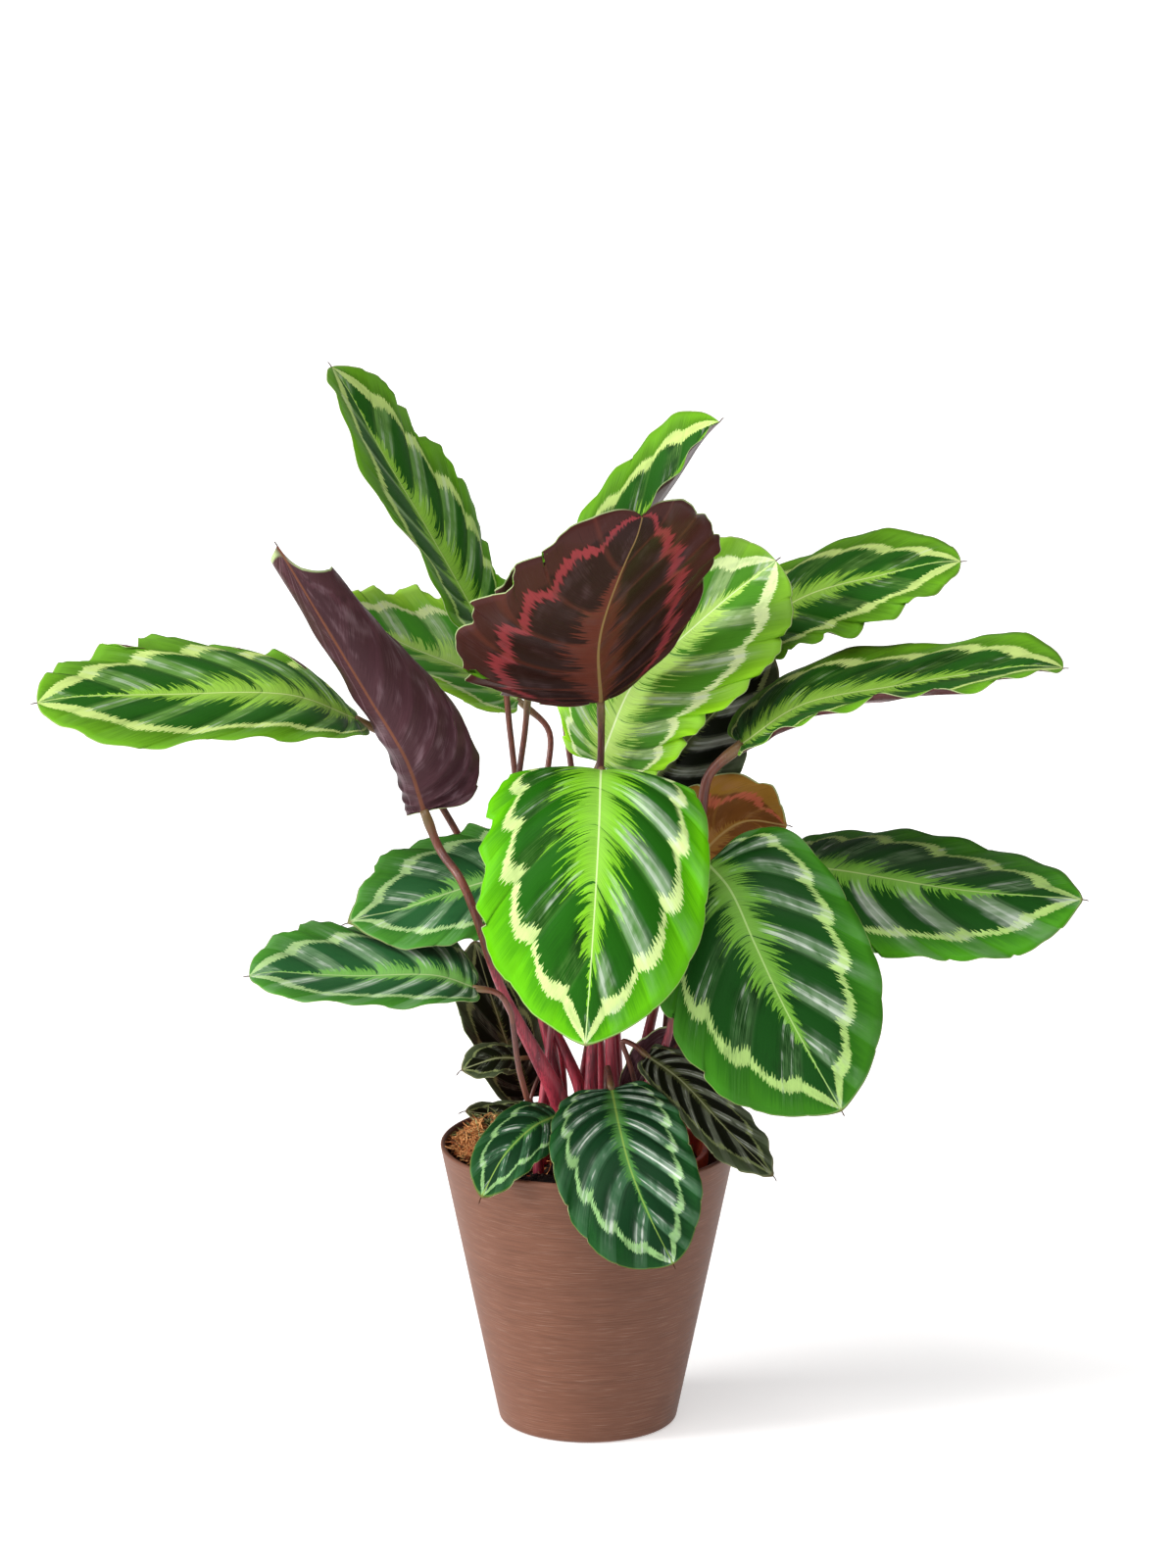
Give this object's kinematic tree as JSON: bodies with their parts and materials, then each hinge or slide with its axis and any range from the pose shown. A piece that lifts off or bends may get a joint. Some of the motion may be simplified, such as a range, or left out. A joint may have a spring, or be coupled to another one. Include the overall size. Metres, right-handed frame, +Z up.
{
  "type": "potted plant",
  "caption": "Calathea houseplant with large round patterned leaves on upright stalks, rooted in soil in a nursery pot inside a tapered round cover pot.",
  "frame": {"origin": "middle of the cover pot's flat underside, on the surface that the pot stands on", "axes": "+Z up along the pot's axis, +X to the right and +Y away from the viewer as pictured"},
  "size_m": [0.8394, 0.4246, 0.8556],
  "materials": {
    "cover_pot": "satin, fine horizontal striations",
    "nursery_pot": "matt",
    "soil": "coarse, damp",
    "leaf_bright": "waxy satin",
    "leaf_green": "waxy satin",
    "leaf_dark": "waxy satin",
    "leaf_purple": "satin",
    "stalk": "satin"
  },
  "bodies": {
    "root": {"cover_pot": "cover_pot", "nursery_pot": "nursery_pot", "soil": "soil", "blade_far_left": "leaf_green", "stalk_far_left": "stalk", "blade_tall_left": "leaf_green", "stalk_tall_left": "stalk", "blade_rolled_left": "leaf_purple", "stalk_rolled_left": "stalk", "blade_back_left": "leaf_green", "stalk_back_left": "stalk", "blade_big_brown": "leaf_purple", "stalk_big_brown": "stalk", "blade_top_right": "leaf_green", "stalk_top_right": "stalk", "blade_brown_back": "leaf_purple", "stalk_brown_back": "stalk", "blade_bright_right": "leaf_bright", "stalk_bright_right": "stalk", "blade_upper_right": "leaf_green", "stalk_upper_right": "stalk", "blade_right_rolled": "leaf_green", "stalk_right_rolled": "stalk", "blade_shaded_right": "leaf_green", "stalk_shaded_right": "stalk", "blade_front_bright": "leaf_bright", "stalk_front_bright": "stalk", "blade_front_right": "leaf_green", "stalk_front_right": "stalk", "blade_low_right": "leaf_green", "stalk_low_right": "stalk", "blade_amber_back": "leaf_purple", "stalk_amber_back": "stalk", "blade_mid_left": "leaf_green", "stalk_mid_left": "stalk", "blade_low_left": "leaf_dark", "stalk_low_left": "stalk", "blade_small_dark": "leaf_dark", "stalk_small_dark": "stalk", "blade_rim_left": "leaf_dark", "stalk_rim_left": "stalk", "blade_front_low": "leaf_green", "stalk_front_low": "stalk", "blade_right_low": "leaf_dark", "stalk_right_low": "stalk", "blade_purple_low": "leaf_purple", "stalk_purple_low": "stalk", "blade_soil_leaf": "leaf_dark", "stalk_soil_leaf": "stalk", "blade_shade_left": "leaf_dark", "stalk_shade_left": "stalk", "blade_rear_high": "leaf_green", "stalk_rear_high": "stalk", "blade_rear_middle": "leaf_green", "stalk_rear_middle": "stalk", "blade_rear_right": "leaf_green", "stalk_rear_right": "stalk"}
  },
  "joints": []
}
